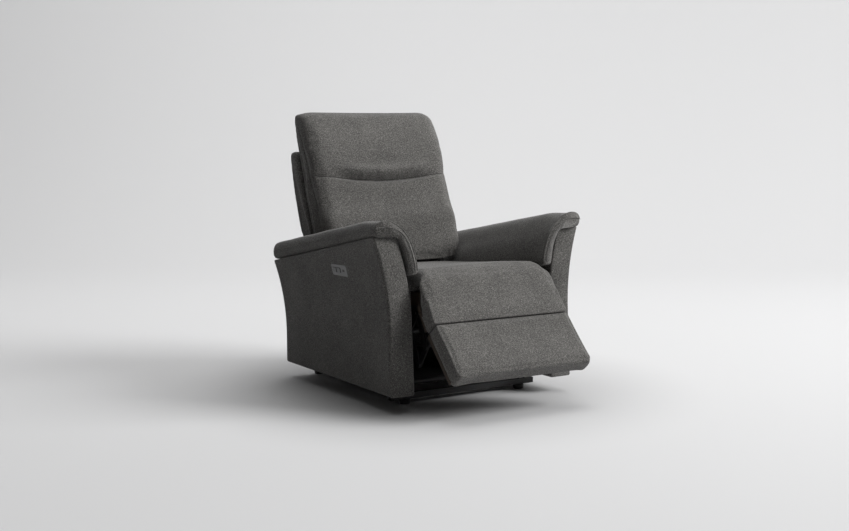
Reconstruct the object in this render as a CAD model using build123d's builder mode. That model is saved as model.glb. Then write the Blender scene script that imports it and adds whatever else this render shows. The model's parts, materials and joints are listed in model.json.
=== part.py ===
from build123d import *
import os
from math import asin, atan2, cos, degrees, hypot, radians, sin, sqrt, tan

# Power recliner armchair with a fabric cover. Millimetres.
# +X is the sitter's left, +Y is the back, +Z is up, and the floor is Z = 0.
# The origin is the middle of the floor area that the chair covers.
# It stands as on show: back upright, footrest part-way out.

os.makedirs("parts", exist_ok=True)

SIDES = ((-1, "right"), (1, "left"))      # the sitter's right is -X
BOTH = (-1, 1)

# ------------------------------------------------------------ driving sizes
arm_bottom = 56
arm_thickness = 89
arm_outer = 377.5                         # half-width over the upright part of the arms
arm_front, arm_rear = -337, 464
arm_rear_top = 454
arm_slope = 0.182                         # fall of the arm's top towards the back
arm_front_lean = 0.066                    # the front face leans back as it rises
flare_height = 293                        # the top of each side curves outwards
flare_radius = 866
cover_wall = 12                           # foam and fabric over the arm's frame
front_block = 52                          # solid front of the arm, where its face leans
skirt_end = 256                           # where the arm pads' inner skirts stop

seat_half = 258                           # half-width between the arm pads' skirts
leg_half = 282                            # half-width of the flap and the footrest
seat_rear = 258
seat_frame_rear_z = 352
seat_tilt = 0.088                         # rise of the seat towards the front
knee = (-291, 411)                        # (Y, Z) of the flap's hinge
knee_radius = 64                          # seat edge that the cover rolls over
flap_angle = 55                           # below the horizontal, as it stands
flap_length = 170
foot_angle = 46.5
foot_length = 214.6
board = 14
leg_depth = 64                            # board and pad together
seam_taper = 6.75                         # degrees off each pad's end, so that they can close up

back_hinge = (298, 400)                   # (Y, Z) of the recline hinge
back_half_low, back_half_high = 284, 299
lumbar_half_low = 259                     # the lumbar cushion fits between the arm pads' skirts
back_top_half = 292
seam_z = 775                              # between the lumbar and the head cushion

plate = 5                                 # link plates
running = 0.05                            # radial clearance of a pin that turns
link_a = (-184.4, 251.8)                  # torque tube's axis
link_b = (-234, 141)                      # drive link to coupler
link_c = (-343, 302)                      # coupler to footrest bracket
idler_place = 0.42                        # idler's pins, as a part of the coupler's length
link_x, coupler_x, bracket_x = 211, 205, 217

glide_height = 17
bar, bar_wall = 20, 2                     # square tube of the base
rail_low, rail_high = 37, 62
base_rail_x, base_rail_width = 245, 26     # middle of each side rail, and its width
tube_wall = 2.5
through = 1000                            # longer than any piece, for cuts right through
front_bar_y, rear_bar_y = -195, 443


def arm_top(y):
    """Height of the arm cover's top edge at depth y."""
    return arm_rear_top + (arm_rear - y) * arm_slope


def flare(height):
    """How far the side stands out at a height above the start of its curve."""
    return flare_radius - sqrt(flare_radius**2 - height**2)


def seat_top(y):
    """Height of the seat frame's top at depth y."""
    return seat_frame_rear_z + (262 - y) * seat_tilt


def direction(angle):
    """Unit (Y, Z) pointing forwards and down by an angle in degrees."""
    return (-cos(radians(angle)), -sin(radians(angle)))


def between(start, end, part):
    return (start[0] + (end[0] - start[0]) * part, start[1] + (end[1] - start[1]) * part)


flap_dir = direction(flap_angle)
foot_dir = direction(foot_angle)
toe_hinge = (knee[0] + flap_length * flap_dir[0], knee[1] + flap_length * flap_dir[1])
idler_top = between(link_a, (link_a[0] + link_c[0] - link_b[0], link_a[1] + link_c[1] - link_b[1]), idler_place)
idler_low = between(link_b, link_c, idler_place)

# Planes across the chair: local x runs down the panel, local y points out of its face
FLAP = Plane(origin=(0, *knee), x_dir=(0, *flap_dir), z_dir=(-1, 0, 0))
FOOT = Plane(origin=(0, *toe_hinge), x_dir=(0, *foot_dir), z_dir=(-1, 0, 0))


def across(x):
    """Plane of the (Y, Z) outlines at width x."""
    return Plane.YZ.offset(x)


# ============================================================ base
# Four glides under the cross bars
glide_radius = 19
with BuildPart() as floor_glides:
    with BuildSketch(Plane.XY):
        with Locations(*[(x * base_rail_x, y) for x in BOTH for y in (front_bar_y, rear_bar_y)]):
            Circle(glide_radius)
    extrude(amount=glide_height)
    fillet(floor_glides.faces().sort_by(Axis.Z)[:4].edges(), 3)
floor_glides.part.label = "floor_glides"
export_step(floor_glides.part, "parts/floor_glides.step")

# Cross bars: square tubes with a bolt tab behind or in front of each end
tab_x, tab_size, tab_thick, tab_hole = 212, 40, 4, 4.5
for name, bar_y, half, inward in (("front_crossbar", front_bar_y, 305, 1), ("rear_crossbar", rear_bar_y, 258, -1)):
    with BuildPart() as crossbar:
        with BuildSketch(across(-half)):
            with Locations((bar_y, glide_height + bar / 2)):
                Rectangle(bar, bar)
                Rectangle(bar - 2 * bar_wall, bar - 2 * bar_wall, mode=Mode.SUBTRACT)
        extrude(amount=2 * half)
        tab_y = bar_y + inward * (bar / 2 + tab_size / 2)
        with BuildSketch(Plane.XY.offset(glide_height)):
            with Locations(*[(x * tab_x, tab_y) for x in BOTH]):
                Rectangle(tab_size, tab_size)
                Circle(tab_hole, mode=Mode.SUBTRACT)
        extrude(amount=tab_thick)
    crossbar.part.label = name
    export_step(crossbar.part, f"parts/{name}.step")

# Side rails lie on the cross bars
rail_height = rail_high - rail_low
rail_over = 20                            # how far the rails run past each cross bar
with BuildPart() as base_side_rails:
    with BuildSketch(Plane.XZ.offset(-(rear_bar_y + rail_over))):
        with Locations(*[(x * base_rail_x, (rail_low + rail_high) / 2) for x in BOTH]):
            Rectangle(base_rail_width, rail_height)
            Rectangle(base_rail_width - 2 * tube_wall, rail_height - 2 * tube_wall, mode=Mode.SUBTRACT)
    extrude(amount=rear_bar_y - front_bar_y + 2 * rail_over)
base_side_rails.part.label = "base_side_rails"
export_step(base_side_rails.part, "parts/base_side_rails.step")

# Upright plates on the side rails carry the seat's guide rails
upright_x, upright_thick, upright_width = 248, 4, 60
upright_top = 324
front_upright_y, rear_upright_y = -195, 150
with BuildPart() as base_uprights:
    with BuildSketch(Plane.XY.offset(rail_high)):
        with Locations(*[(x * upright_x, y) for x in BOTH for y in (front_upright_y, rear_upright_y)]):
            Rectangle(upright_thick, upright_width)
    extrude(amount=upright_top - rail_high)
base_uprights.part.label = "base_uprights"
export_step(base_uprights.part, "parts/base_uprights.step")

# Round tube between the front uprights
cross_tube_z, cross_tube_radius = 74, 10
cross_tube_half = upright_x - upright_thick / 2
with BuildPart() as front_cross_tube:
    with BuildSketch(across(-cross_tube_half)):
        with Locations((front_upright_y, cross_tube_z)):
            Circle(cross_tube_radius)
            Circle(cross_tube_radius - bar_wall, mode=Mode.SUBTRACT)
    extrude(amount=2 * cross_tube_half)
front_cross_tube.part.label = "front_cross_tube"
export_step(front_cross_tube.part, "parts/front_cross_tube.step")

# Guide rails: flat bars on the uprights' outer faces
guide_rail_x, guide_thick = 253, 6
guide_z = (300, 324)
guide_y = (-225, 215)
with BuildPart() as guide_rails:
    with BuildSketch(Plane.XZ.offset(-guide_y[1])):
        with Locations(*[(x * guide_rail_x, sum(guide_z) / 2) for x in BOTH]):
            Rectangle(guide_thick, guide_z[1] - guide_z[0])
    extrude(amount=guide_y[1] - guide_y[0])
guide_rails.part.label = "guide_rails"
export_step(guide_rails.part, "parts/guide_rails.step")

# Angle brackets between the side rails and the arms, three a side
bracket_ys = (-150, 110, 400)
bracket_foot, bracket_width, bracket_thick = 236, 50, 4
bolt_z, bolt_radius = 110, 5
arm_inner = arm_outer - arm_thickness
bracket_top = bolt_z + 25
with BuildPart() as arm_brackets:
    for side in BOTH:
        for y in bracket_ys:
            with BuildSketch(Plane.XZ.offset(-(y + bracket_width / 2))):
                with BuildLine():
                    Polyline(
                        (side * bracket_foot, rail_high), (side * arm_inner, rail_high),
                        (side * arm_inner, bracket_top), (side * (arm_inner - bracket_thick), bracket_top),
                        (side * (arm_inner - bracket_thick), rail_high + bracket_thick),
                        (side * bracket_foot, rail_high + bracket_thick), close=True)
                make_face()
            extrude(amount=bracket_width)
        middle_x = side * (arm_inner - bracket_thick / 2)
        with Locations(*[Location((middle_x, y, bolt_z), (0, 90, 0)) for y in bracket_ys]):
            Hole(bolt_radius, depth=bracket_thick + 2)
    # the uprights stand in a notch of the front brackets' feet
    with BuildSketch(Plane.XY.offset(rail_high)):
        with Locations(*[(x * upright_x, y) for x in BOTH for y in (front_upright_y, rear_upright_y)]):
            Rectangle(upright_thick + 0.2, upright_width + 0.2)
    extrude(amount=bracket_thick + 0.2, mode=Mode.SUBTRACT)
arm_brackets.part.label = "arm_brackets"
export_step(arm_brackets.part, "parts/arm_brackets.step")

# Bolts through the brackets into the arms' lower rails
bolt_length = 44
with BuildPart() as arm_bolts:
    for side in BOTH:
        head = across(side * (arm_inner - bracket_thick))
        with BuildSketch(head):
            with Locations(*[(y, bolt_z) for y in bracket_ys]):
                RegularPolygon(9, 6)
        extrude(amount=-side * 6)
        with BuildSketch(head):
            with Locations(*[(y, bolt_z) for y in bracket_ys]):
                Circle(bolt_radius - running)
        extrude(amount=side * bolt_length)
arm_bolts.part.label = "arm_bolts"
export_step(arm_bolts.part, "parts/arm_bolts.step")

# Low-voltage inlet on a tab at the rear cross bar
inlet_place = (150, 50)
inlet_face = Plane.XZ.offset(-(rear_bar_y + bar / 2))
with BuildPart() as power_inlet:
    with BuildSketch(inlet_face):
        with Locations(inlet_place):
            RectangleRounded(34, 26, 4)
    extrude(amount=bar)
    with BuildSketch(inlet_face):
        with Locations(inlet_place):
            Circle(5)
    extrude(amount=12, mode=Mode.SUBTRACT)
power_inlet.part.label = "power_inlet"
export_step(power_inlet.part, "parts/power_inlet.step")


# ============================================================ arms
def arm_section(side, y, inset, bottom):
    """Cross-section of an arm at depth y, made smaller all round by inset."""
    top = arm_top(y)
    start = top - flare_height
    outer = arm_outer - inset
    inner = arm_inner + inset
    high = top - inset
    reach = flare(high - start)
    with BuildSketch(Plane.XZ.offset(-y)) as section:
        with BuildLine():
            Line((side * outer, bottom), (side * outer, start))
            TangentArc((side * outer, start), (side * (outer + reach), high), tangent=(0, 1))
            Line((side * (outer + reach), high), (side * (inner + reach), high))
            TangentArc((side * inner, start), (side * (inner + reach), high), tangent=(0, 1))
            Line((side * inner, start), (side * inner, bottom))
            Line((side * inner, bottom), (side * outer, bottom))
        make_face()
    return section.sketch


def pad_section(side, y):
    """Cross-section of an arm pad at depth y: a roll over the top, and a skirt down the inside."""
    base = arm_top(y) + 1
    inner = arm_inner + flare(flare_height - 12) - 3
    with BuildSketch(Plane.XZ.offset(-y)) as section:
        with BuildLine():
            Spline(
                (side * 409, base + 50), (side * 356, base + 41), (side * 303, base + 6),
                (side * 273, base - 67), (side * 262, base - 118))
            ThreePointArc((side * 262, base - 118), (side * 274, base - 133), (side * 289, base - 124))
            Spline((side * 289, base - 124), (side * 302, base - 88), (side * inner, base))
            Line((side * inner, base), (side * 412, base))
            ThreePointArc((side * 412, base), (side * 428, base + 26), (side * 409, base + 50))
        make_face()
    return section.sketch


# Switch plate: on the outside of the right arm
switch_y, switch_z = -24, 461
switch_rise = switch_z - (arm_top(switch_y) - flare_height)
switch_slope = tan(asin(switch_rise / flare_radius))
SWITCH = Plane(
    origin=(-(arm_outer + flare(switch_rise)) - 0.3, switch_y, switch_z),
    x_dir=(0, -1, 0), z_dir=(-1, -switch_slope * arm_slope, -switch_slope))
plate_length, plate_height = 100, 42
box_length, box_height, box_depth = 88, 30, 15

for side, word in SIDES:
    # Cover: foam and fabric over the frame, open underneath
    with BuildPart() as arm_cover:
        loft([arm_section(side, arm_front, 0, arm_bottom), arm_section(side, arm_rear, 0, arm_bottom)])
        with BuildSketch(across(-through / 2)):
            with BuildLine():
                Polyline(
                    (arm_front, arm_bottom), (arm_rear, arm_bottom), (arm_rear, 700),
                    (arm_front + (700 - arm_bottom) * arm_front_lean, 700), close=True)
            make_face()
        extrude(amount=through, mode=Mode.INTERSECT)
        hollow = [
            arm_section(side, arm_front + front_block, cover_wall, arm_bottom - 1),
            arm_section(side, arm_rear - cover_wall, cover_wall, arm_bottom - 1)]
        loft(hollow, mode=Mode.SUBTRACT)
        with BuildSketch(across(side * (arm_inner - 1))):
            with Locations(*[(y, bolt_z) for y in bracket_ys]):
                Circle(bolt_radius + 0.5)
        extrude(amount=side * 20, mode=Mode.SUBTRACT)
        if side < 0:
            with BuildSketch(SWITCH.offset(-30)):
                Rectangle(box_length + 1, box_height + 1)
            extrude(amount=40, mode=Mode.SUBTRACT)
    arm_cover.part.label = f"{word}_arm_cover"
    export_step(arm_cover.part, f"parts/{word}_arm_cover.step")

    # Frame inside the cover: a post at each end, a rail at the bottom and at the top
    gap = cover_wall + 0.5
    post_front, post_rear = arm_front + front_block + 1, arm_rear - gap
    post = 40
    for piece, strips in (
            ("arm_posts", ((post_front, post_front + post), (post_rear - post, post_rear))),
            ("arm_rails", ((post_front + post + 0.5, post_rear - post - 0.5),))):
        with BuildPart() as arm_timber:
            loft([
                arm_section(side, post_front, gap, arm_bottom + 2),
                arm_section(side, post_rear, gap, arm_bottom + 2)])
            with BuildSketch(across(-through / 2)):
                for low, high in strips:
                    with Locations(((low + high) / 2, 350)):
                        Rectangle(high - low, 700)
                if piece == "arm_rails":
                    with BuildLine():
                        Polyline(
                            (-400, 150), (500, 150), (500, arm_top(500) - gap - 35),
                            (-400, arm_top(-400) - gap - 35), close=True)
                    make_face(mode=Mode.SUBTRACT)
            extrude(amount=through, mode=Mode.INTERSECT)
            with BuildSketch(across(side * arm_inner)):
                with Locations(*[(y, bolt_z) for y in bracket_ys]):
                    Circle(bolt_radius)
            extrude(amount=side * (bolt_length + 6), mode=Mode.SUBTRACT)
        arm_timber.part.label = f"{word}_{piece}"
        export_step(arm_timber.part, f"parts/{word}_{piece}.step")

    # Pad: a roll over the top with a skirt that drops down the inside
    pad_front, pad_rear, roll_inner = -312, 470, 303
    with BuildPart() as arm_pad:
        loft([pad_section(side, pad_front), pad_section(side, pad_rear)])
        # behind the skirt only the roll is left, so that the back can tilt past it
        skirt_length = 2 * (pad_rear - skirt_end)
        with BuildSketch(Plane.XY.offset(200)):
            with Locations((side * (roll_inner - 50), pad_rear)):
                Rectangle(100, skirt_length)
        extrude(amount=through, mode=Mode.SUBTRACT)
        # the skirt ends above the seat frame
        with BuildSketch(across(side * 200)):
            with BuildLine():
                Polyline((-350, 200), (500, 200), (500, 383), (-350, 463), close=True)
            make_face()
        extrude(amount=side * (roll_inner + 1 - 200), mode=Mode.SUBTRACT)
        rear_edges = arm_pad.faces().sort_by(Axis.Y)[-1].edges().sort_by(Axis.Z)[-1:]
        fillet(rear_edges, 18)
    arm_pad.part.label = f"{word}_arm_pad"
    export_step(arm_pad.part, f"parts/{word}_arm_pad.step")

# ------------------------------------------------------------ switch plate
rocker_length, rocker_height = 22, 18
rocker_spots = (-30, -3)                  # along the plate, from the front
port_spot = 28
with BuildPart() as switch_bezel:
    with BuildSketch(SWITCH.offset(0.4)):
        RectangleRounded(plate_length, plate_height, 6)
    extrude(amount=2.6)
    fillet(switch_bezel.faces().sort_by(Axis.X)[0].edges(), 1)
    with BuildSketch(SWITCH.offset(-box_depth)):
        Rectangle(box_length, box_height)
    extrude(amount=box_depth + 0.4)
    with BuildSketch(SWITCH.offset(-box_depth + 2)):
        with Locations(*[(x, 0) for x in rocker_spots]):
            Rectangle(rocker_length + 1, rocker_height + 1)
        with Locations((port_spot, 0)):
            Rectangle(14, 8)
    extrude(amount=40, mode=Mode.SUBTRACT)
switch_bezel.part.label = "switch_bezel"
export_step(switch_bezel.part, "parts/switch_bezel.step")

for name, spot in (("footrest_rocker", rocker_spots[0]), ("back_rocker", rocker_spots[1])):
    with BuildPart() as rocker:
        with BuildSketch(SWITCH.offset(-7)):
            with Locations((spot, 0)):
                Rectangle(rocker_length - 1, rocker_height)
        extrude(amount=12)
        top = rocker.faces().sort_by(Axis.X)[0]
        fillet(top.edges(), 1.2)
    rocker.part.label = name
    export_step(rocker.part, f"parts/{name}.step")

with BuildPart() as usb_port:
    with BuildSketch(SWITCH.offset(-box_depth + 2)):
        with Locations((port_spot, 0)):
            Rectangle(14, 8)
    extrude(amount=box_depth)
    with BuildSketch(SWITCH.offset(-6)):
        with Locations((port_spot, 0)):
            Rectangle(12, 4.6)
    extrude(amount=20, mode=Mode.SUBTRACT)
usb_port.part.label = "usb_port"
export_step(usb_port.part, "parts/usb_port.step")


# ============================================================ seat
side_rail_x = (208, 243)
front_rail_y = (-285, -255)


def polygon(x, points):
    """Closed (Y, Z) outline at width x."""
    with BuildSketch(across(x)) as outline:
        with BuildLine():
            Polyline(*points, close=True)
        make_face()
    return outline.sketch


def link(x, start, end, radius, holes=()):
    """Round-ended bar at width x, with a hole of each (place, radius)."""
    with BuildSketch(across(x)) as outline:
        length = hypot(end[0] - start[0], end[1] - start[1])
        angle = degrees(atan2(end[1] - start[1], end[0] - start[0]))
        with Locations(between(start, end, 0.5)):
            SlotCenterToCenter(length, 2 * radius, rotation=angle)
        for place, hole_radius in holes:
            with Locations(place):
                Circle(hole_radius, mode=Mode.SUBTRACT)
    return outline.sketch


def disc(x, places, radius):
    """Discs of one radius at the (Y, Z) places, at width x."""
    with BuildSketch(across(x)) as outline:
        with Locations(*places):
            Circle(radius)
    return outline.sketch


# Timber frame: two side rails with a front and a rear rail between them
with BuildPart() as seat_side_rails:
    for side in BOTH:
        rear, front = 262, front_rail_y[1]
        outline = polygon(side * side_rail_x[0], (
            (front, seat_top(front) - 45), (rear, seat_top(rear) - 45), (rear, seat_top(rear)),
            (front, seat_top(front))))
        extrude(outline, amount=side * (side_rail_x[1] - side_rail_x[0]))
seat_side_rails.part.label = "seat_side_rails"
export_step(seat_side_rails.part, "parts/seat_side_rails.step")

for name, (near, far), half in (
        ("seat_front_rail", front_rail_y, side_rail_x[1]), ("seat_rear_rail", (232, 262), side_rail_x[0])):
    with BuildPart() as seat_rail:
        outline = polygon(-half, (
            (near, seat_top(near) - 45), (far, seat_top(far) - 45), (far, seat_top(far)), (near, seat_top(near))))
        extrude(outline, amount=2 * half)
    seat_rail.part.label = name
    export_step(seat_rail.part, f"parts/{name}.step")

# Elastic webbing stapled along the front and rear rails
with BuildPart() as seat_webbing:
    for x in range(-160, 161, 80):
        outline = polygon(x - 25, (
            (-280, seat_top(-280)), (258, seat_top(258)), (258, seat_top(258) + 2), (-280, seat_top(-280) + 2)))
        extrude(outline, amount=50)
seat_webbing.part.label = "seat_webbing"
export_step(seat_webbing.part, "parts/seat_webbing.step")

# Cushion, whose front edge is the drum that the cover rolls over when the flap swings
nose_bottom = 13
cushion_lift = 2.5
with BuildPart() as seat_cushion:
    nose_out = sqrt(knee_radius**2 - nose_bottom**2)
    with BuildSketch(across(-seat_half)):
        with BuildLine():
            ThreePointArc(
                (knee[0] - nose_out, knee[1] + nose_bottom),
                (knee[0] - knee_radius * cos(radians(50)), knee[1] + knee_radius * sin(radians(50))),
                (knee[0], knee[1] + knee_radius))
            Polyline(
                (knee[0], knee[1] + knee_radius), (seat_rear, 428), (seat_rear, seat_top(seat_rear) + cushion_lift),
                (-262, seat_top(-262) + cushion_lift), (-272, knee[1] + nose_bottom),
                (knee[0] - nose_out, knee[1] + nose_bottom))
        make_face()
    extrude(amount=2 * seat_half)
seat_cushion.part.label = "seat_cushion"
export_step(seat_cushion.part, "parts/seat_cushion.step")

# Carriers: angles on the side rails, standing on the sliding blocks
carrier_y = (-100, 210)
with BuildPart() as seat_carriers:
    for side in BOTH:
        with BuildSketch(Plane.XZ.offset(-carrier_y[1])):
            with BuildLine():
                Polyline(
                    (side * 243, 330), (side * 266, 330), (side * 266, 334), (side * 247, 334),
                    (side * 247, 348), (side * 243, 348), close=True)
            make_face()
        extrude(amount=carrier_y[1] - carrier_y[0])
seat_carriers.part.label = "seat_carriers"
export_step(seat_carriers.part, "parts/seat_carriers.step")

# Nylon blocks wrapped round the guide rails
with BuildPart() as slide_blocks:
    for y in (-50, 210):
        with BuildSketch(Plane.XZ.offset(-y)):
            for side in BOTH:
                with Locations((side * 258.2, 312)):
                    Rectangle(15.6, 36)
                with Locations((side * 253.2, 312)):
                    Rectangle(6.4, 24.8, mode=Mode.SUBTRACT)
        extrude(amount=50)
slide_blocks.part.label = "slide_blocks"
export_step(slide_blocks.part, "parts/slide_blocks.step")

# Flat cross brace that both actuators hang from
brace_y = (60, 90)
with BuildPart() as seat_cross_brace:
    with BuildSketch(Plane.XY.offset(352)):
        with Locations((0, sum(brace_y) / 2)):
            Rectangle(2 * side_rail_x[0], brace_y[1] - brace_y[0])
    extrude(amount=6)
seat_cross_brace.part.label = "seat_cross_brace"
export_step(seat_cross_brace.part, "parts/seat_cross_brace.step")

# Steel plates under the side rails carry the leg linkage
with BuildPart() as link_brackets:
    low_y, high_y = link_a[0], idler_top[0]
    for side in BOTH:
        x = side * bracket_x
        seat_bottom = seat_top(-205) - 45
        outline = polygon(x, (
            (-145, seat_bottom + 20), (-145, link_a[1] + 10), (low_y, link_a[1] - 16), (high_y - 16, idler_top[1] - 6),
            (-250, seat_bottom + 20)))
        extrude(outline, amount=side * 4)
        extrude(disc(x, [link_a], 16), amount=side * 4)
        extrude(disc(x, [link_a], 6 + running), amount=side * 4, mode=Mode.SUBTRACT)
        extrude(disc(x, [idler_top], 5), amount=side * 4, mode=Mode.SUBTRACT)
    extrude(polygon(-230, (
        (-260, seat_top(-260) - 45), (-130, seat_top(-130) - 45), (-130, 420), (-260, 420))),
        amount=460, mode=Mode.SUBTRACT)
link_brackets.part.label = "link_brackets"
export_step(link_brackets.part, "parts/link_brackets.step")

# Pins that the idler links turn on
with BuildPart() as idler_pins:
    for side in BOTH:
        extrude(disc(side * link_x, [idler_top], 5), amount=side * 10)
idler_pins.part.label = "idler_pins"
export_step(idler_pins.part, "parts/idler_pins.step")

# Flap hinges: lugs on the front rail, and the pins through them
hinge_xs = (-120, 120)
lug_gap, lug_width = 32, 6
with BuildPart() as flap_hinge_lugs:
    for x in hinge_xs:
        for edge in (x - lug_gap / 2 - lug_width, x + lug_gap / 2):
            outline = polygon(edge, (
                (front_rail_y[0], 390), (front_rail_y[0], 396), (knee[0] + 2, knee[1] + 8), (knee[0] - 8, knee[1]),
                (knee[0] - 4, 376), (front_rail_y[0], 370)))
            extrude(outline, amount=lug_width)
            extrude(disc(edge, [knee], 8), amount=lug_width)
            extrude(disc(edge, [knee], 3), amount=lug_width, mode=Mode.SUBTRACT)
flap_hinge_lugs.part.label = "flap_hinge_lugs"
export_step(flap_hinge_lugs.part, "parts/flap_hinge_lugs.step")

with BuildPart() as flap_hinge_pins:
    for x in hinge_xs:
        extrude(disc(x - 22, [knee], 3), amount=44)
flap_hinge_pins.part.label = "flap_hinge_pins"
export_step(flap_hinge_pins.part, "parts/flap_hinge_pins.step")

# Recline hinge plates on the outside of the side rails
with BuildPart() as seat_hinge_plates:
    for side in BOTH:
        x = side * side_rail_x[1]
        outline = polygon(x, ((222, 328), (270, 328), (310, 390), (287, 408), (262, 352), (222, 350)))
        extrude(outline, amount=side * plate)
        extrude(disc(x, [back_hinge], 14), amount=side * plate)
        extrude(disc(x, [back_hinge], 6), amount=side * plate, mode=Mode.SUBTRACT)
seat_hinge_plates.part.label = "seat_hinge_plates"
export_step(seat_hinge_plates.part, "parts/seat_hinge_plates.step")

with BuildPart() as back_pivot_pins:
    for side in BOTH:
        extrude(disc(side * side_rail_x[1], [back_hinge], 6), amount=side * 14)
back_pivot_pins.part.label = "back_pivot_pins"
export_step(back_pivot_pins.part, "parts/back_pivot_pins.step")

# Footrest actuator: a motor with a round guide that the sliding block runs along
crank_radius, crank_mid = 40, 5.73
crank_x = 49
guide_x, guide_height, guide_radius = 75, 318, 8
with BuildPart() as footrest_motor:
    with BuildSketch(Plane.XZ.offset(-130)):
        with Locations((guide_x, 318)):
            RectangleRounded(52, 68, 8)
    extrude(amount=115)
    fillet(footrest_motor.faces().sort_by(Axis.Y)[0].edges(), 4)
    with BuildSketch(Plane.XZ.offset(-20)):
        with Locations((guide_x, guide_height)):
            Circle(guide_radius)
    extrude(amount=285)
    with BuildSketch(Plane.XZ.offset(265)):
        with Locations((guide_x, (guide_height - 12 + seat_top(-270) - 45) / 2)):
            Rectangle(20, seat_top(-270) - 45 - guide_height + 11)
    extrude(amount=8)
footrest_motor.part.label = "footrest_motor"
export_step(footrest_motor.part, "parts/footrest_motor.step")

# Recline actuator: a motor that pulls its rod in
rod_x, rod_z, rod_radius = -64, 290, 7
with BuildPart() as recline_motor:
    with BuildSketch(Plane.XZ.offset(-140)):
        with Locations((rod_x, 308)):
            RectangleRounded(52, 88, 8)
    extrude(amount=120)
    fillet(recline_motor.faces().sort_by(Axis.Y)[0].edges(), 4)
    with BuildSketch(Plane.XZ.offset(-140)):
        with Locations((rod_x, rod_z)):
            Circle(rod_radius + running)
    extrude(amount=85, mode=Mode.SUBTRACT)
recline_motor.part.label = "recline_motor"
export_step(recline_motor.part, "parts/recline_motor.step")


# ============================================================ recline rod and footrest slider
lever_angle = 14                          # half of the recline travel
lever_drop = back_hinge[1] - rod_z
rod_pin_y = back_hinge[0] + lever_drop * tan(radians(lever_angle))
with BuildPart() as recline_rod:
    with BuildSketch(Plane.XZ.offset(-(rod_pin_y + 9))):
        with Locations((rod_x, rod_z)):
            Circle(rod_radius)
    extrude(amount=rod_pin_y + 9 - 125)
    extrude(disc(rod_x, [(rod_pin_y, rod_z)], 5), amount=-18)
recline_rod.part.label = "recline_rod"
export_step(recline_rod.part, "parts/recline_rod.step")

crank_pin = (
    link_a[0] - crank_radius * sin(radians(crank_mid)), link_a[1] + crank_radius * cos(radians(crank_mid)))
with BuildPart() as footrest_slider:
    with BuildSketch(Plane.XZ.offset(-(crank_pin[0] + 20))):
        with Locations((guide_x, guide_height)):
            Rectangle(36, 24)
            Circle(guide_radius + running, mode=Mode.SUBTRACT)
    extrude(amount=40)
    with BuildSketch(across(guide_x - 18)):
        with Locations((crank_pin[0], 298)):
            Rectangle(32, 62)
        with Locations((crank_pin[0], 287.2)):
            SlotOverall(24, 12.4, rotation=90, mode=Mode.SUBTRACT)
    extrude(amount=6)
    with BuildSketch(Plane.XZ.offset(-(crank_pin[0] + 20))):
        with Locations((guide_x, guide_height)):
            Circle(guide_radius + running)
    extrude(amount=40, mode=Mode.SUBTRACT)
footrest_slider.part.label = "footrest_slider"
export_step(footrest_slider.part, "parts/footrest_slider.step")


# ============================================================ leg linkage
with BuildPart() as torque_tube:
    extrude(disc(-link_x, [link_a], 12), amount=2 * link_x)
    extrude(disc(-link_x, [link_a], 10), amount=2 * link_x, mode=Mode.SUBTRACT)
torque_tube.part.label = "torque_tube"
export_step(torque_tube.part, "parts/torque_tube.step")

with BuildPart() as drive_crank:
    extrude(link(crank_x, link_a, crank_pin, 9), amount=6)
    extrude(disc(crank_x, [link_a], 18), amount=6)
    extrude(disc(crank_x, [crank_pin], 5), amount=17)
    extrude(disc(crank_x, [link_a], 12), amount=6, mode=Mode.SUBTRACT)
drive_crank.part.label = "drive_crank"
export_step(drive_crank.part, "parts/drive_crank.step")

# Drive links on the tube's ends, with a stub outside that turns in the bracket
with BuildPart() as drive_links:
    for side in BOTH:
        x = side * link_x
        extrude(link(x, link_a, link_b, 12), amount=side * plate)
        extrude(disc(x, [link_a], 6), amount=side * (bracket_x + 4 - link_x))
        extrude(disc(x, [link_b], 4), amount=-side * 8)
drive_links.part.label = "drive_links"
export_step(drive_links.part, "parts/drive_links.step")

# Idler links keep the couplers at one slope
with BuildPart() as idler_links:
    for side in BOTH:
        x = side * link_x
        extrude(link(x, idler_top, idler_low, 11, [(idler_top, 5 + running)]), amount=side * plate)
        extrude(disc(x, [idler_low], 4), amount=-side * 8)
idler_links.part.label = "idler_links"
export_step(idler_links.part, "parts/idler_links.step")

toe_play = 1.3
with BuildPart() as coupler_links:
    for side in BOTH:
        holes = [(link_b, 4 + running), (idler_low, 4.3), (link_c, 4 + toe_play)]
        extrude(link(side * (coupler_x + plate), link_b, link_c, 12, holes), amount=-side * plate)
coupler_links.part.label = "coupler_links"
export_step(coupler_links.part, "parts/coupler_links.step")


# ============================================================ flap
taper = tan(radians(seam_taper))
knuckle_radius, strap_width, strap = 7, 30, 4


with BuildPart() as flap_board:
    with BuildSketch(FLAP):
        with Locations((113, board / 2)):
            Rectangle(94, board)
    extrude(amount=leg_half - 4, both=True)
flap_board.part.label = "flap_board"
export_step(flap_board.part, "parts/flap_board.step")

with BuildPart() as flap_pad:
    with BuildSketch(FLAP):
        with BuildLine():
            Polyline(
                (0, board), (0, leg_depth), (flap_length - 0.7 - leg_depth * taper, leg_depth),
                (flap_length - 0.7 - board * taper, board), close=True)
        make_face()
        Circle(knee_radius + 0.4, mode=Mode.SUBTRACT)
        with Locations((-28, leg_depth)):
            Rectangle(100, 40, mode=Mode.SUBTRACT)
    extrude(amount=leg_half, both=True)
flap_pad.part.label = "flap_pad"
export_step(flap_pad.part, "parts/flap_pad.step")

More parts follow.
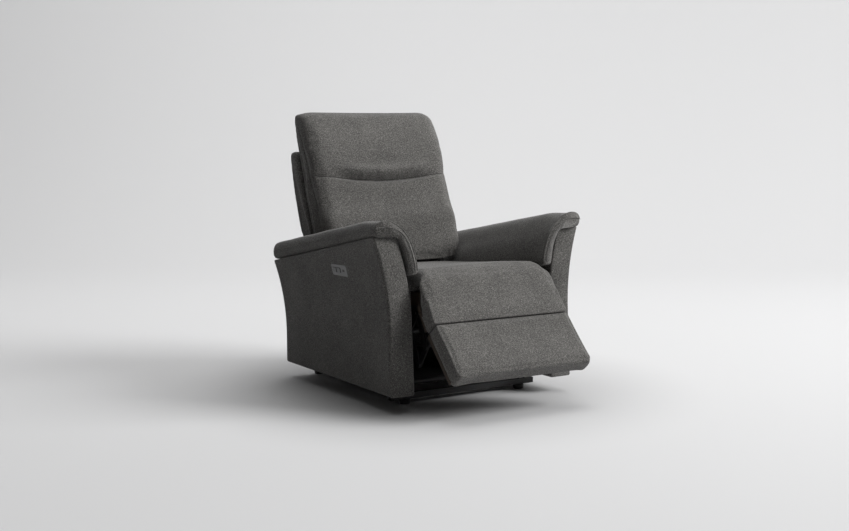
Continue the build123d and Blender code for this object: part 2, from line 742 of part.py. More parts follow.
# Steel straps run from the seat's hinge pins to the footrest's hinge pins
with BuildPart() as flap_straps:
    for x in hinge_xs:
        with BuildSketch(FLAP.offset(-x)):
            with Locations((flap_length / 2, -strap / 2)):
                Rectangle(flap_length, strap)
            with Locations((0, 0), (flap_length, 0)):
                Circle(knuckle_radius)
            with Locations((0, 0), (flap_length, 0)):
                Circle(3 + running, mode=Mode.SUBTRACT)
        extrude(amount=strap_width / 2, both=True)
flap_straps.part.label = "flap_straps"
export_step(flap_straps.part, "parts/flap_straps.step")


# ============================================================ footrest
with BuildPart() as footrest_board:
    with BuildSketch(FOOT):
        with Locations(((10 + foot_length - 14) / 2, board / 2)):
            Rectangle(foot_length - 14 - 10, board)
    extrude(amount=leg_half - 4, both=True)
footrest_board.part.label = "footrest_board"
export_step(footrest_board.part, "parts/footrest_board.step")

with BuildPart() as footrest_pad:
    with BuildSketch(FOOT):
        with BuildLine():
            Polyline(
                (foot_length - 12, board), (0.7 + board * taper, board), (0.7 + (leg_depth + 2) * taper, leg_depth + 2),
                (foot_length - 12, leg_depth + 2))
            ThreePointArc(
                (foot_length - 12, leg_depth + 2), (foot_length, (leg_depth + board) / 2 + 8), (foot_length - 12, board))
        make_face()
    extrude(amount=leg_half, both=True)
footrest_pad.part.label = "footrest_pad"
export_step(footrest_pad.part, "parts/footrest_pad.step")

# Hinge lugs with their pins, at both ends of each strap's knuckle
with BuildPart() as footrest_hinges:
    for x in hinge_xs:
        for edge, way in ((x - lug_gap / 2, -1), (x + lug_gap / 2, 1)):
            with BuildSketch(FOOT.offset(-edge)):
                with Locations((30, -strap / 2)):
                    Rectangle(60, strap)
                Circle(knuckle_radius)
            extrude(amount=-way * lug_width)
        with BuildSketch(FOOT.offset(-x)):
            Circle(3)
        extrude(amount=lug_gap / 2 + 1, both=True)
footrest_hinges.part.label = "footrest_hinges"
export_step(footrest_hinges.part, "parts/footrest_hinges.step")

# Brackets reach back past the hinge to the coupler links
with BuildPart() as footrest_brackets:
    for side in BOTH:
        x = side * link_x
        reach_end = (toe_hinge[0] + 150 * foot_dir[0], toe_hinge[1] + 150 * foot_dir[1])
        near = (toe_hinge[0] + 14 * foot_dir[0], toe_hinge[1] + 14 * foot_dir[1])
        inward = (-foot_dir[1], foot_dir[0])
        extrude(link(x, link_c, (near[0] + 12 * inward[0], near[1] + 12 * inward[1]), 11), amount=side * plate)
        outline = polygon(x, (
            near, reach_end, (reach_end[0] + 10 * inward[0], reach_end[1] + 10 * inward[1]),
            (near[0] + 22 * inward[0], near[1] + 22 * inward[1])))
        extrude(outline, amount=side * plate)
        extrude(disc(x, [link_c], 4), amount=-side * 8)
footrest_brackets.part.label = "footrest_brackets"
export_step(footrest_brackets.part, "parts/footrest_brackets.step")


# ============================================================ back
back_behind = 700                         # a plane behind the whole back
back_wide_z = 600                         # above this the back has its full width
back_side = 300                           # just outside the back's side


def back_outline(half_low, narrow_z, half_top, top, low_z, corner=0):
    """Front view of a part of the back: narrow up to narrow_z, and full width above the arms."""
    right = [
        (half_low, low_z), (half_low, narrow_z), (back_half_high, back_wide_z), (back_half_high, seam_z),
        (half_top, top)]
    left = [(-x, z) for x, z in reversed(right)]
    with BuildSketch(Plane.XZ.offset(-back_behind)) as outline:
        with BuildLine():
            Polyline(*right, *left, close=True)
        make_face()
        if corner:
            fillet(outline.vertices().group_by(Axis.Y)[-1], corner)
    return outline.sketch


low_front = ((240, 434), (253, 500), (273, 571), (288, 618), (314, 666), (339, 723), (361, 772))
high_front = ((363, 778), (371, 811), (388, 864), (413, 916), (454, 979))
shell_back = ((432, 300), (490, 531), (548, 712), (576, 839))

with BuildPart() as lumbar_cushion:
    with BuildSketch(across(-back_side)):
        with BuildLine():
            Spline(*low_front)
            Line(low_front[-1], (479, 760))
            Polyline((479, 760), (457, 681), (399, 548), (356, 434), low_front[0])
        make_face()
    extrude(amount=2 * back_side)
    outline = back_outline(lumbar_half_low, 492, back_half_high, 860, 434)
    extrude(outline, amount=back_behind, mode=Mode.INTERSECT)
lumbar_cushion.part.label = "lumbar_cushion"
export_step(lumbar_cushion.part, "parts/lumbar_cushion.step")

with BuildPart() as head_cushion:
    with BuildSketch(across(-back_side)):
        with BuildLine():
            Spline(*high_front)
            ThreePointArc(high_front[-1], (502, 1018), (549, 987))
            Spline((549, 987), (545, 953), (535, 909), (521, 868))
            Polyline((521, 868), (481, 766), high_front[0])
        make_face()
    extrude(amount=2 * back_side)
    outline = back_outline(back_half_low, 450, back_top_half, 1018, 434, corner=30)
    extrude(outline, amount=back_behind, mode=Mode.INTERSECT)
head_cushion.part.label = "head_cushion"
export_step(head_cushion.part, "parts/head_cushion.step")

# Outer shell: a tray behind the cushions, with the timber frame inside it
shell_wall = 12
with BuildPart() as back_shell:
    with BuildSketch(across(-back_side)):
        with BuildLine():
            Polyline((519, 860), (484, 764), (460, 680), (402, 547), (310, 306), (320, 300), shell_back[0])
            Spline(*shell_back)
            ThreePointArc(shell_back[-1], (566, 862), (519, 860))
        make_face()
    extrude(amount=2 * back_side)
    outline = back_outline(back_half_low, 450, back_half_high, 880, 290)
    extrude(outline, amount=back_behind, mode=Mode.INTERSECT)
    with BuildSketch(across(-(back_half_low - shell_wall))):
        with BuildLine():
            Polyline(
                (503, 846), (400, 650), (200, 300), (200, 312), (420, 312), (478, 531), (536, 712), (560, 830),
                (552, 848), (540, 848), close=True)
        make_face()
    extrude(amount=2 * (back_half_low - shell_wall), mode=Mode.SUBTRACT)
    # notch for the recline lever and its rod
    with BuildSketch(Plane.XY.offset(290)):
        with Locations((rod_x - 6, 340)):
            Rectangle(60, 100)
    extrude(amount=50, mode=Mode.SUBTRACT)
back_shell.part.label = "back_shell"
export_step(back_shell.part, "parts/back_shell.step")

# Timber frame: two stiles with three rails between them
stile_x = (219, 249)
frame_low, frame_high, frame_depth = 336, 836, 25


def frame_front(z):
    """Depth of the frame's front at height z."""
    return 330 + 0.381 * (z - frame_low)


def frame_slice(x, low, high, forward, depth):
    """Side outline of a piece of the frame between two heights, starting forward of its front."""
    return polygon(x, (
        (frame_front(low) - forward, low), (frame_front(high) - forward, high),
        (frame_front(high) - forward + depth, high), (frame_front(low) - forward + depth, low)))


with BuildPart() as back_stiles:
    for side in BOTH:
        outline = frame_slice(side * stile_x[0], frame_low, frame_high, 0, frame_depth)
        extrude(outline, amount=side * (stile_x[1] - stile_x[0]))
back_stiles.part.label = "back_stiles"
export_step(back_stiles.part, "parts/back_stiles.step")

with BuildPart() as back_rails:
    for low in (338, 560, 790):
        extrude(frame_slice(-stile_x[0], low, low + 40, 0, frame_depth), amount=2 * stile_x[0])
back_rails.part.label = "back_rails"
export_step(back_rails.part, "parts/back_rails.step")

with BuildPart() as back_webbing:
    for low in range(450, 771, 80):
        extrude(frame_slice(-245, low, low + 45, 2, 2), amount=490)
back_webbing.part.label = "back_webbing"
export_step(back_webbing.part, "parts/back_webbing.step")

# Hinge brackets on the outside of the stiles
with BuildPart() as back_hinge_brackets:
    for side in BOTH:
        outline = link(side * stile_x[1], back_hinge, (368, 412), 14, [(back_hinge, 6 + running)])
        extrude(outline, amount=side * plate)
back_hinge_brackets.part.label = "back_hinge_brackets"
export_step(back_hinge_brackets.part, "parts/back_hinge_brackets.step")

# Slotted lever under the lower rail, pulled by the recline rod
lever_x, lever_thick = -79, 6
lever_end = (back_hinge[0] + 118 * sin(radians(lever_angle)) - 3, back_hinge[1] - 115)
with BuildPart() as recline_lever:
    extrude(link(lever_x, (343, 326), lever_end, 11), amount=lever_thick)
    with BuildSketch(across(lever_x)):
        slot_centre = (
            back_hinge[0] + 112 * sin(radians(lever_angle)), back_hinge[1] - 112 * cos(radians(lever_angle)))
        with Locations(slot_centre):
            SlotCenterToCenter(8, 11.6, rotation=lever_angle - 90)
    extrude(amount=lever_thick, mode=Mode.SUBTRACT)
    with BuildSketch(Plane.XY.offset(334)):
        with Locations((lever_x + lever_thick / 2, 344)):
            Rectangle(38, 22)
    extrude(amount=4)
recline_lever.part.label = "recline_lever"
export_step(recline_lever.part, "parts/recline_lever.step")
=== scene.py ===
import json
import math

import bmesh
import bpy
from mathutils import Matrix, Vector, noise
from mathutils.bvhtree import BVHTree


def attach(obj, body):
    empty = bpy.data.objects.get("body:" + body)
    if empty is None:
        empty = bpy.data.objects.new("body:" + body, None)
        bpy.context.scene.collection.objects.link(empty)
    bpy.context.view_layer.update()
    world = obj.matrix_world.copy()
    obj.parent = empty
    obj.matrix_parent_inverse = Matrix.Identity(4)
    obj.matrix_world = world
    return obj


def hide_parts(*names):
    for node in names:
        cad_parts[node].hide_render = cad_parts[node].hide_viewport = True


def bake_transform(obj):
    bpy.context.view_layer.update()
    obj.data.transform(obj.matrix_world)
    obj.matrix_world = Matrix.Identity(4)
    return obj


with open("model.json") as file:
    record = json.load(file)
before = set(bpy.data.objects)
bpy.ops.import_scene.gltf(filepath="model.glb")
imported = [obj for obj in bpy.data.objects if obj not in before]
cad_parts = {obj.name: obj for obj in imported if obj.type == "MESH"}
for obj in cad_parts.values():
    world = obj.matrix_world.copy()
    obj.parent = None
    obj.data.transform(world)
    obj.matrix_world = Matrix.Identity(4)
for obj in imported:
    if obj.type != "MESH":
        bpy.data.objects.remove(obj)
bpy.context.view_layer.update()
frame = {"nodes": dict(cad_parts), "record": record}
scene = bpy.context.scene

# ------------------------------------------------------------ driving sizes, in metres
# +X is the sitter's left, +Y the back, +Z up, as in the frame.
SIDES = ((-1, "right"), (1, "left"))

ARM_BOTTOM = 0.056
ARM_OUTER = 0.3775                # half-width over the upright part of the arms
ARM_THICK = 0.089
ARM_FRONT, ARM_REAR = -0.337, 0.464
ARM_LEAN = 0.066                  # the front face leans back as it rises
ARM_SLOPE = 0.182                 # fall of the arm's top towards the back
ARM_REAR_TOP = 0.454
FLARE_HEIGHT = 0.293
FLARE_RADIUS = 0.866
PAD_FRONT, PAD_REAR = -0.312, 0.486
SKIRT_END = 0.300

KNEE = (-0.291, 0.411)            # (Y, Z) of the flap's hinge
KNEE_RADIUS = 0.0635
FLAP_ANGLE = 55
FLAP_LENGTH = 0.170
FOOT_ANGLE = 46.5
FOOT_LENGTH = 0.2146
LEG_DEPTH = 0.0640
SEAT_HALF = 0.257
LEG_HALF = 0.2818
BACK_HALF = 0.302
SEAM_Z = 0.7705


def arm_top(y):
    return ARM_REAR_TOP + (ARM_REAR - y) * ARM_SLOPE


def flare(height):
    """How far the arm's side stands out at a height above the start of its curve."""
    height = max(0.0, height)
    return FLARE_RADIUS - math.sqrt(FLARE_RADIUS**2 - height**2)


def smooth_step(low, high, value):
    """0 below low, 1 above high, and a smooth rise between them."""
    t = min(1.0, max(0.0, (value - low) / (high - low)))
    return t * t * (3 - 2 * t)


def bell(value, width):
    """1 at 0, falling off smoothly over width."""
    return math.exp(-(value / width) ** 2)


def mix(a, b, t):
    return a + (b - a) * t


def panel_point(origin, angle, along, out):
    """(Y, Z) of a point on a leg panel: along its length, and out from its back plane."""
    c, s = math.cos(math.radians(angle)), math.sin(math.radians(angle))
    return (origin[0] - along * c - out * s, origin[1] - along * s + out * c)


TOE = panel_point(KNEE, FLAP_ANGLE, FLAP_LENGTH, 0)


def spline(p0, p1, p2, p3, t):
    """Point at t, from 0 to 1, on a smooth line from p1 to p2."""
    return tuple(
        0.5 * (2 * b + (c - a) * t + (2 * a - 5 * b + 4 * c - d) * t**2 + (3 * b - a - 3 * c + d) * t**3)
        for a, b, c, d in zip(p0, p1, p2, p3))


def curve_through(points, count):
    """Evenly counted points on a smooth line through the given 2-D points."""
    padded = [points[0], *points, points[-1]]
    spans = len(points) - 1
    line = []
    for k in range(count):
        place = k / (count - 1) * spans
        i = min(int(place), spans - 1)
        line.append(spline(*padded[i:i + 4], place - i))
    return line


# ------------------------------------------------------------ mesh helpers
def new_object(name, verts, faces):
    mesh = bpy.data.meshes.new(name)
    mesh.from_pydata(verts, [], faces)
    mesh.validate()
    solid = bmesh.new()
    solid.from_mesh(mesh)
    bmesh.ops.recalc_face_normals(solid, faces=solid.faces)
    solid.to_mesh(mesh)
    solid.free()
    obj = bpy.data.objects.new(name, mesh)
    scene.collection.objects.link(obj)
    return obj


def shade_smooth(obj):
    obj.data.polygons.foreach_set("use_smooth", [True] * len(obj.data.polygons))


def skin_rings(name, rings):
    """Closed mesh through rings of equal length, with a face over each end."""
    count = len(rings[0])
    verts = [v for ring in rings for v in ring]
    faces = []
    for k in range(len(rings) - 1):
        for i in range(count):
            j = (i + 1) % count
            faces.append((k * count + i, k * count + j, (k + 1) * count + j, (k + 1) * count + i))
    faces.append(tuple(range(count)))
    faces.append(tuple(range((len(rings) - 1) * count, len(rings) * count)))
    return new_object(name, verts, faces)


def inset_profile(points, depths):
    """A closed (Y, Z) outline with each point moved inwards by its own depth."""
    following = points[1:] + points[:1]
    area = sum(a[0] * b[1] - b[0] * a[1] for a, b in zip(points, following))
    turn = 1 if area > 0 else -1
    moved = []
    for i, (y, z) in enumerate(points):
        before, after = points[i - 1], following[i]
        dy, dz = after[0] - before[0], after[1] - before[1]
        size = math.hypot(dy, dz) or 1.0
        moved.append((y - turn * dz / size * depths[i], z + turn * dy / size * depths[i]))
    return moved


def rounded_prism(name, outline, half, round_x, depth, weights=None):
    """Solid with a (Y, Z) outline across the chair, its ends rounded over.

    half(y, z) is its half-width, round_x how far in from the side the rounding starts,
    and depth how far the face has dropped at the side.
    """
    weights = weights or [1.0] * len(outline)
    stations = []
    steps = 6
    for k in range(steps + 1):
        phi = math.pi / 2 * k / steps
        stations.append((round_x * (1 - math.sin(phi)), depth * (1 - math.cos(phi))))
    rings = []
    for sign, order in ((-1, reversed(stations)), (1, stations)):
        for from_side, drop in order:
            ring = inset_profile(outline, [drop * w for w in weights])
            rings.append([
                (sign * (half(*outline[i]) - from_side), y, z) for i, (y, z) in enumerate(ring)])
    return skin_rings(name, rings)


def apply_modifiers(obj):
    graph = bpy.context.evaluated_depsgraph_get()
    made = bpy.data.meshes.new_from_object(obj.evaluated_get(graph))
    obj.modifiers.clear()
    old = obj.data
    obj.data = made
    bpy.data.meshes.remove(old)


def remesh(obj, voxel, smoothing):
    """Even mesh over the same solid, with its corners a little rounded."""
    modifier = obj.modifiers.new("remesh", "REMESH")
    modifier.mode = "VOXEL"
    modifier.voxel_size = voxel
    soften = obj.modifiers.new("soften", "SMOOTH")
    soften.iterations = smoothing
    soften.factor = 0.5
    apply_modifiers(obj)


def puff(obj, cap, pressure=4.0, frames=20):
    """Fills the piece like a stuffed cover: cloth under pressure, each point moving at most cap."""
    cloth = obj.modifiers.new("fill", "CLOTH")
    settings = cloth.settings
    settings.use_pressure = True
    settings.uniform_pressure_force = pressure
    settings.effector_weights.gravity = 0
    settings.quality = 4
    cloth.point_cache.frame_start = 1
    cloth.point_cache.frame_end = frames
    for number in range(1, frames + 1):
        scene.frame_set(number)
    graph = bpy.context.evaluated_depsgraph_get()
    filled = obj.evaluated_get(graph).data
    moved = [v.co.copy() for v in filled.vertices]
    obj.modifiers.clear()
    scene.frame_set(1)
    for vertex, target in zip(obj.data.vertices, moved):
        step = target - vertex.co
        if step.length > cap:
            step *= cap / step.length
        vertex.co += step


def relax(obj, times):
    """Smooths a mesh the given number of times."""
    soften = obj.modifiers.new("soften", "SMOOTH")
    soften.iterations = times
    soften.factor = 0.5
    apply_modifiers(obj)


def shape(obj, move):
    """Moves every vertex by move(co, normal), a vector."""
    normals = [v.normal.copy() for v in obj.data.vertices]
    for vertex, normal in zip(obj.data.vertices, normals):
        vertex.co += move(vertex.co.copy(), normal)
    obj.data.update()


def subdivide(obj):
    modifier = obj.modifiers.new("subdivide", "SUBSURF")
    modifier.levels = 1
    modifier.render_levels = 1


def bevel(obj, width, segments, angle):
    modifier = obj.modifiers.new("bevel", "BEVEL")
    modifier.width = width
    modifier.segments = segments
    modifier.limit_method = "ANGLE"
    modifier.angle_limit = math.radians(angle)
    modifier.harden_normals = False


def tube(name, path, radius, sides=8):
    """Round tube along a list of 3-D points."""
    path = [Vector(p) for p in path]
    rings = []
    normal = None
    for before, point, after in zip(path[:1] + path, path, path[1:] + path[-1:]):
        along = (after - before).normalized()
        if normal is None:
            normal = along.orthogonal().normalized()
        normal = (normal - along * normal.dot(along)).normalized()
        side = along.cross(normal)
        rings.append([
            point + radius * (math.cos(a) * normal + math.sin(a) * side)
            for a in (2 * math.pi * k / sides for k in range(sides))])
    return skin_rings(name, rings)


def dashes(name, path, length, gap, radius):
    """Row of stitches: short rounded threads along a line of 3-D points."""
    path = [Vector(p) for p in path]
    verts, faces = [], []
    carried = 0.0
    for start, end in zip(path, path[1:]):
        span = (end - start).length
        along = (end - start).normalized()
        place = carried
        while place + length <= span:
            low = start + along * place
            high = low + along * length
            across = along.orthogonal().normalized() * radius
            other = along.cross(across)
            base = len(verts)
            taper = along * length * 0.25
            for centre, size in ((low, 0.5), (low + taper, 1), (high - taper, 1), (high, 0.5)):
                for a, b in ((1, 0), (0, 1), (-1, 0), (0, -1)):
                    verts.append(centre + (across * a + other * b) * size)
            for first in (base, base + 4, base + 8):
                for i in range(4):
                    j = (i + 1) % 4
                    faces.append((first + i, first + j, first + 4 + j, first + 4 + i))
            faces.append(tuple(base + i for i in range(4)))
            faces.append(tuple(base + 12 + i for i in range(4)))
            place += length + gap
        carried = place - span
    return new_object(name, verts, faces)


# ------------------------------------------------------------ materials
def linear(value):
    """Linear light from a screen value of 0 to 255."""
    value /= 255
    return value / 12.92 if value <= 0.04045 else ((value + 0.055) / 1.055) ** 2.4


def node_material(name, rough, metallic=0.0):
    material = bpy.data.materials.new(name)
    material.use_nodes = True
    tree = material.node_tree
    shader = tree.nodes["Principled BSDF"]
    shader.inputs["Roughness"].default_value = rough
    shader.inputs["Metallic"].default_value = metallic
    return material, tree, shader


def add_node(tree, kind, inputs=None, **settings):
    node = tree.nodes.new(kind)
    for key, value in settings.items():
        setattr(node, key, value)
    for key, value in (inputs or {}).items():
        if hasattr(value, "links"):
            tree.links.new(value, node.inputs[key])
        else:
            node.inputs[key].default_value = value
    return node


def math_node(tree, operation, *values):
    node = tree.nodes.new("ShaderNodeMath")
    node.operation = operation
    for socket, value in zip(node.inputs, values):
        if hasattr(value, "links"):
            tree.links.new(value, socket)
        else:
            socket.default_value = value
    return node.outputs[0]


def ramp(tree, factor, stops):
    node = tree.nodes.new("ShaderNodeValToRGB")
    tree.links.new(factor, node.inputs[0])
    elements = node.color_ramp.elements
    while len(elements) < len(stops):
        elements.new(0.5)
    for element, (place, colour) in zip(elements, stops):
        element.position = place
        element.color = (*colour, 1)
    return node.outputs["Color"]


def threads(tree, place, pitch):
    """Height of a plain weave, 0 to 1, seen square-on on any face: the two axes that lie in it."""
    geometry = add_node(tree, "ShaderNodeNewGeometry")
    split = add_node(tree, "ShaderNodeSeparateXYZ", {0: place})
    facing = add_node(tree, "ShaderNodeSeparateXYZ", {0: geometry.outputs["Normal"]})
    waves = []
    for axis in range(3):
        phase = math_node(tree, "MULTIPLY", split.outputs[axis], math.pi / pitch)
        waves.append(math_node(tree, "SINE", phase))
    total = None
    for axis in range(3):
        first, second = waves[(axis + 1) % 3], waves[(axis + 2) % 3]
        weave = math_node(tree, "MULTIPLY", first, second)
        weight = math_node(tree, "POWER", math_node(tree, "ABSOLUTE", facing.outputs[axis]), 4.0)
        part = math_node(tree, "MULTIPLY", weave, weight)
        total = part if total is None else math_node(tree, "ADD", total, part)
    return math_node(tree, "MULTIPLY_ADD", total, 0.5, 0.5)


def fabric_material(name, dark, middle, light, sheen=0.25):
    """Heathered slub weave: short pale and dark yarns over a plain weave."""
    material, tree, shader = node_material(name, 0.92)
    shader.inputs["Sheen Weight"].default_value = sheen
    shader.inputs["Sheen Roughness"].default_value = 0.45
    shader.inputs["Specular IOR Level"].default_value = 0.25
    place = add_node(tree, "ShaderNodeTexCoord").outputs["Object"]
    level = add_node(tree, "ShaderNodeMapping", {"Vector": place, "Scale": (1, 1, 2.6)}).outputs[0]
    upright = add_node(tree, "ShaderNodeMapping", {"Vector": place, "Scale": (2.6, 2.6, 1)}).outputs[0]
    slub = {"Detail": 3.0, "Roughness": 0.65}
    weft = add_node(tree, "ShaderNodeTexNoise", {"Vector": level, "Scale": 190.0, **slub})
    warp = add_node(tree, "ShaderNodeTexNoise", {"Vector": upright, "Scale": 170.0, **slub})
    flecks = add_node(tree, "ShaderNodeTexNoise", {"Vector": place, "Scale": 620.0, "Detail": 2.0})
    cloudy = add_node(tree, "ShaderNodeTexNoise", {"Vector": place, "Scale": 9.0, "Detail": 3.0})
    yarns = math_node(tree, "ADD", weft.outputs[0], warp.outputs[0])
    speckle = math_node(tree, "MULTIPLY_ADD", flecks.outputs[0], 0.5, -0.25)
    mixed = math_node(tree, "ADD", math_node(tree, "MULTIPLY", yarns, 0.5), speckle)
    shift = math_node(tree, "MULTIPLY_ADD", cloudy.outputs[0], 0.10, -0.05)
    mixed = math_node(tree, "ADD", mixed, shift)
    colour = ramp(tree, mixed, ((0.36, dark), (0.50, middle), (0.66, light)))
    tree.links.new(colour, shader.inputs["Base Color"])
    weave = threads(tree, place, 0.0016)
    height = math_node(tree, "ADD", math_node(tree, "MULTIPLY", weave, 0.6), mixed)
    bump = add_node(tree, "ShaderNodeBump", {"Height": height, "Strength": 0.45, "Distance": 0.0012})
    tree.links.new(bump.outputs[0], shader.inputs["Normal"])
    return material


def speckled_material(name, colours, rough, metallic, scale, bump_height, stretch=(1, 1, 1), spread=0.12):
    """Two close colours in a fine noise, with roughness and a slight relief from it."""
    material, tree, shader = node_material(name, rough, metallic)
    place = add_node(tree, "ShaderNodeTexCoord").outputs["Object"]
    place = add_node(tree, "ShaderNodeMapping", {"Vector": place, "Scale": stretch}).outputs[0]
    grain = add_node(tree, "ShaderNodeTexNoise", {"Vector": place, "Scale": scale, "Detail": 4.0})
    colour = ramp(tree, grain.outputs[0], ((0.35, colours[0]), (0.65, colours[1])))
    tree.links.new(colour, shader.inputs["Base Color"])
    roughness = math_node(tree, "MULTIPLY_ADD", grain.outputs[0], spread, rough - spread / 2)
    tree.links.new(roughness, shader.inputs["Roughness"])
    bump = add_node(
        tree, "ShaderNodeBump", {"Height": grain.outputs[0], "Strength": 0.5, "Distance": bump_height})
    tree.links.new(bump.outputs[0], shader.inputs["Normal"])
    return material


def grey(value, warm=0.0):
    base = linear(value)
    return (base * (1 + warm), base, base * (1 - warm * 1.6))


fabric = fabric_material("charcoal_fabric", grey(56, 0.035), grey(88, 0.035), grey(138, 0.035))
# painted shade: near-black colour for the crease along the head's sunk seam
seam_shadow = speckled_material("painted_seam_shade", (grey(30, 0.03), grey(44, 0.03)), 0.9, 0.0, 900.0, 0.0003)
thread = speckled_material("seam_thread", (grey(90, 0.02), grey(120, 0.02)), 0.8, 0.0, 900.0, 0.0003)
black_steel = speckled_material("black_steel", (grey(30), grey(44)), 0.42, 0.0, 260.0, 0.0004)
zinc_steel = speckled_material("zinc_steel", (grey(165), grey(205)), 0.32, 1.0, 120.0, 0.0002, (1, 6, 1))
# painted shade: the plywood is coloured near-black brown to stand in for the shade inside the base
shade_dark_timber = speckled_material(
    "shade_dark_plywood", ((0.030, 0.021, 0.015), (0.060, 0.042, 0.029)), 0.6, 0.0, 22.0, 0.0006, (1, 9, 9), 0.2)
elastic = speckled_material("elastic_webbing", (grey(30), grey(60)), 0.85, 0.0, 420.0, 0.0006, (1, 5, 1))
# a guessed black dust cloth, whose near-black colour also stands in as painted shade for the dark inside the
# base
dust_cloth_and_shade = speckled_material("black_dust_cloth_and_shade", (grey(22), grey(36)), 0.95, 0.0, 700.0, 0.0005)
black_plastic = speckled_material("black_plastic", (grey(26), grey(34)), 0.5, 0.0, 800.0, 0.0002)
nylon = speckled_material("nylon", (grey(190), grey(210)), 0.45, 0.0, 300.0, 0.0002)
plate_metal = speckled_material("satin_plate", (grey(120), grey(134)), 0.40, 0.35, 160.0, 0.0001, (1, 8, 1))
rocker_plastic = speckled_material("rocker_plastic", (grey(100), grey(112)), 0.35, 0.0, 600.0, 0.0001)

SLOT_MATERIALS = {
    "fabric": fabric, "steel_black": black_steel, "steel_zinc": zinc_steel, "timber": shade_dark_timber,
    "webbing": elastic, "plastic_black": black_plastic, "nylon": nylon, "plate_metal": plate_metal}
slot_of = {entry["node"]: entry["material_slot"] for entry in frame["record"]["subparts"]}
for node_name, node_object in frame["nodes"].items():
    node_object.data.materials.clear()
    node_object.data.materials.append(SLOT_MATERIALS[slot_of[node_name]])
for node_name in ("footrest_rocker", "back_rocker"):
    frame["nodes"][node_name].data.materials[0] = rocker_plastic


def soft_piece(obj, body, nodes=(), material=fabric):
    """Finishes a sewn piece: smooth shading, material, body, and hides the CAD nodes that it stands for."""
    shade_smooth(obj)
    obj.data.materials.clear()
    obj.data.materials.append(material)
    if body:
        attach(obj, body)
    if nodes:
        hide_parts(*nodes)
    return obj


# ------------------------------------------------------------ arms
def arm_half(y, z, outer):
    """Half-width of an arm's outer or inner face."""
    base = ARM_OUTER if outer else ARM_OUTER - ARM_THICK
    return base + flare(z - (arm_top(y) - FLARE_HEIGHT))


def arm_cover(side, word):
    """The side panel: fabric pulled over the arm's frame, a little fuller in the middle."""
    rows, columns = 26, 36
    rings = []
    for k in range(columns + 1):
        along = k / columns
        ring = []
        for outer in (True, False):
            heights = range(rows + 1) if outer else range(rows, -1, -1)
            for i in heights:
                up = i / rows
                z = mix(ARM_BOTTOM + 0.001, arm_top(mix(ARM_FRONT, ARM_REAR, along)) - 0.001, up)
                front = ARM_FRONT + 0.001 + (z - ARM_BOTTOM) * ARM_LEAN
                y = mix(front, ARM_REAR - 0.001, along)
                full = 0.0035 * math.sin(math.pi * up) ** 0.6 * math.sin(math.pi * along) ** 0.6
                x = arm_half(y, z, outer) + (full if outer else -full * 0.6)
                ring.append((side * x, y, z))
        rings.append(ring)
    cover = skin_rings(f"{word}_arm_cover_fabric", rings)
    bevel(cover, 0.008, 4, 50)
    apply_modifiers(cover)
    return soft_piece(cover, "base", [f"{word}_arm_cover"])


def arm_seam_path(side, from_front):
    """Line down the arm's outer face, beside the front strip."""
    path = []
    for i in range(40):
        z = mix(ARM_BOTTOM + 0.012, arm_top(ARM_FRONT) - 0.028, i / 39)
        y = ARM_FRONT + (z - ARM_BOTTOM) * ARM_LEAN + from_front
        path.append((side * (arm_half(y, z, outer=True) + 0.0004), y, z))
    return path


# Cross-section of a pad over the arm's top edge: (X, rise), from the outer top round to the outer end
PAD_TOP = [
    (0.410, 0.0495), (0.394, 0.0530), (0.375, 0.0515), (0.352, 0.0420), (0.328, 0.0250), (0.305, 0.0010)]
PAD_INSIDE = [(0.2880, -0.0290), (0.2765, -0.0620), (0.2680, -0.0970), (0.2655, -0.1190)]
PAD_TIP = [(0.2685, -0.1290), (0.2800, -0.1325), (0.2930, -0.1290)]
PAD_OUTSIDE = [
    (0.2985, -0.1170), (0.3040, -0.0850), (0.3130, -0.0470), (0.3260, -0.0200), (0.3370, -0.0040)]
PAD_UNDER = [(0.3560, 0.0), (0.3850, 0.0), (0.4080, 0.0)]
PAD_END = [(0.4205, 0.0045), (0.4270, 0.0160), (0.4265, 0.0290), (0.4205, 0.0420)]
PAD_CENTRE = (0.372, 0.025)
SKIRT_DROP = 0.1325               # how far the skirt hangs below the arm's top, at its tip
ROLL_INNER = 0.303
REAR_ROUNDING = 0.030             # length over which the pad's rear end is rounded
FULL_LENGTH = 0.13                # the pad reaches its full thickness this far behind its front
SIDE_SEAM = 0.0290                # height of the outer side's sewn line on the pad


def pad_base(y):
    return arm_top(y) + 0.002


def pad_ring(y):
    """Cross-section of an arm pad at depth y, as (X, Z) points round it."""
    # the pad is fuller along its length than at its sewn front
    full = 0.012 * smooth_step(PAD_FRONT, PAD_FRONT + FULL_LENGTH, y)
    from_rear = max(0.0, PAD_REAR - y) / REAR_ROUNDING
    end = math.sqrt(max(0.0, 1 - (1 - min(1.0, from_rear)) ** 2)) * 0.72 + 0.28
    skirt = 1 - smooth_step(SKIRT_END - 0.012, SKIRT_END, y)
    # the skirt ends on a line that rises with the seat rails towards the front
    skirt_hem = 0.383 + (0.5 - y) * 0.0941 + 0.001
    shorten = min(1.0, (pad_base(y) - skirt_hem) / SKIRT_DROP)
    ring = []
    for x, rise in PAD_TOP + PAD_INSIDE + PAD_TIP + PAD_OUTSIDE + PAD_UNDER + PAD_END:
        if rise < 0:
            bare = max(x, ROLL_INNER + 0.002 * rise / -SKIRT_DROP)
            x = mix(bare, x, skirt)
            rise = mix(0.02 * rise, rise * shorten, skirt)
        else:
            rise += full * smooth_step(0.0, 0.040, rise)
            x = mix(max(x, ROLL_INNER), x, skirt)
        x = mix(PAD_CENTRE[0], x, end)
        rise = mix(PAD_CENTRE[1], rise, end)
        ring.append((x, pad_base(y) + rise))
    return ring


